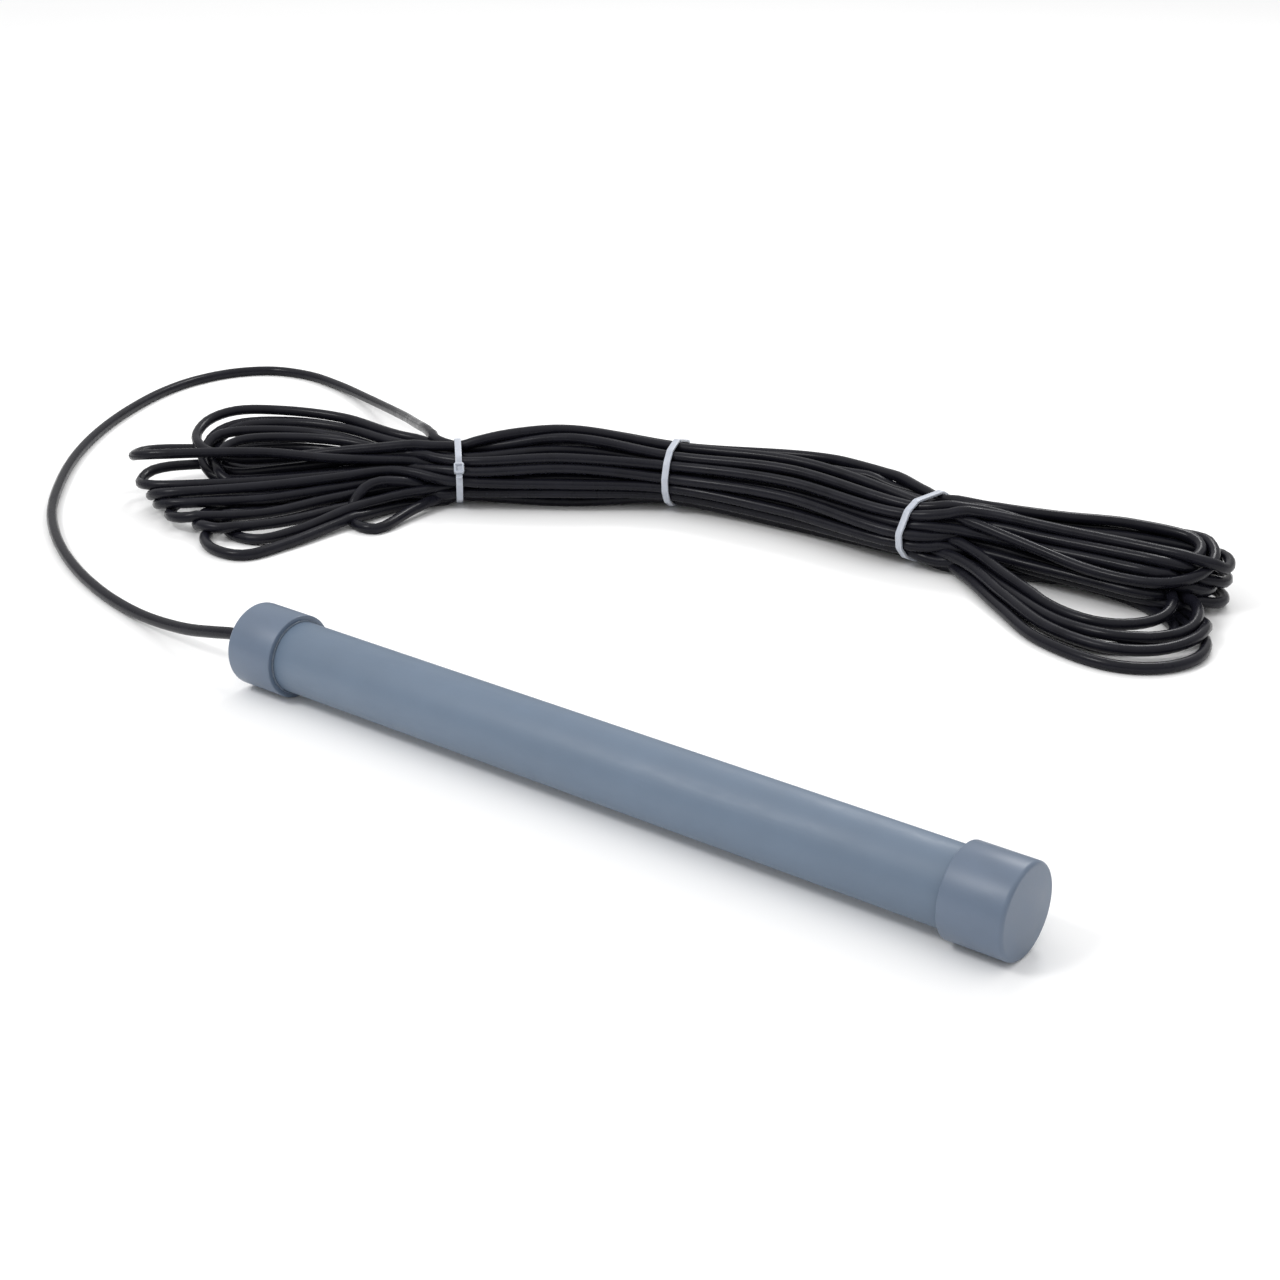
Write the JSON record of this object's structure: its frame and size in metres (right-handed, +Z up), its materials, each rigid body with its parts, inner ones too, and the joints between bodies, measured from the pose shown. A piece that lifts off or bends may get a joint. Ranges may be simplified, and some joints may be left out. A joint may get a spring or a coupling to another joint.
{
  "type": "magnetic vehicle sensor",
  "caption": "Sealed tubular magnetic sensor in capped grey conduit, with a long black burial cable tied in a hank.",
  "frame": {"origin": "on the floor under the middle of the capped tube (bottom centre of the housing's box, without the cable)", "axes": "+X along the tube, from the cable end to the far end; +Z up; +Y towards the hank"},
  "size_m": [0.6395, 0.3289, 0.0326],
  "materials": {
    "conduit_grey": "extruded PVC conduit, satin, grey-blue",
    "cap_grey": "injection moulded PVC slip cap, satin, grey-blue",
    "cable_jacket": "black polyethylene direct-burial jacket, smooth satin",
    "tie_nylon": "natural nylon 6/6, slightly translucent",
    "potting_epoxy": "black potting epoxy, inside the tube",
    "circuit_board": "green solder mask on fibreglass board",
    "connector_body": "ivory nylon connector housing",
    "chip_black": "black moulded epoxy package",
    "capacitor_sleeve": "shrink sleeve on an aluminium can",
    "crystal_can": "nickel-plated crystal can",
    "core_ferrite": "sintered ferrite rod, dark grey",
    "bobbin_plastic": "glass-filled nylon bobbin",
    "copper_winding": "enamelled copper wire, layer wound",
    "foam": "closed-cell polyethylene foam",
    "wire_brown": "PVC insulated wire, brown",
    "wire_green": "PVC insulated wire, green",
    "wire_white": "PVC insulated wire, white",
    "drain_wire": "tinned copper drain wire"
  },
  "bodies": {
    "root": {"housing_tube": "conduit_grey", "cable_end_cap": "cap_grey", "far_end_cap": "cap_grey", "cable_tail": "cable_jacket", "cable_stop_tie": "tie_nylon", "potting_plug": "potting_epoxy", "circuit_board": "circuit_board", "wire_connector": "connector_body", "pin_header": "chip_black", "board_ring_1": "foam", "board_ring_2": "foam", "voltage_regulator": "chip_black", "supply_capacitor": "capacitor_sleeve", "filter_capacitor": "capacitor_sleeve", "output_transistor": "chip_black", "amplifier_chip": "chip_black", "comparator_chip": "chip_black", "controller_chip": "chip_black", "timing_crystal": "crystal_can", "core_rod": "core_ferrite", "foam_ring_1": "foam", "foam_ring_2": "foam", "foam_ring_3": "foam", "bobbin_near": "bobbin_plastic", "bobbin_far": "bobbin_plastic", "winding_near": "copper_winding", "winding_far": "copper_winding", "coil_lead_start": "wire_green", "coil_lead_finish": "wire_white", "coil_link": "wire_brown", "cable_hank": "cable_jacket", "cable_lead": "cable_jacket", "cable_free_end": "cable_jacket", "hank_tie_left": "tie_nylon", "hank_tie_middle": "tie_nylon", "hank_tie_right": "tie_nylon", "inner_brown_conductor": "wire_brown", "end_brown_conductor": "wire_brown", "inner_green_conductor": "wire_green", "end_green_conductor": "wire_green", "inner_white_conductor": "wire_white", "end_white_conductor": "wire_white", "inner_drain_wire": "drain_wire", "end_drain_wire": "drain_wire"}
  },
  "joints": []
}
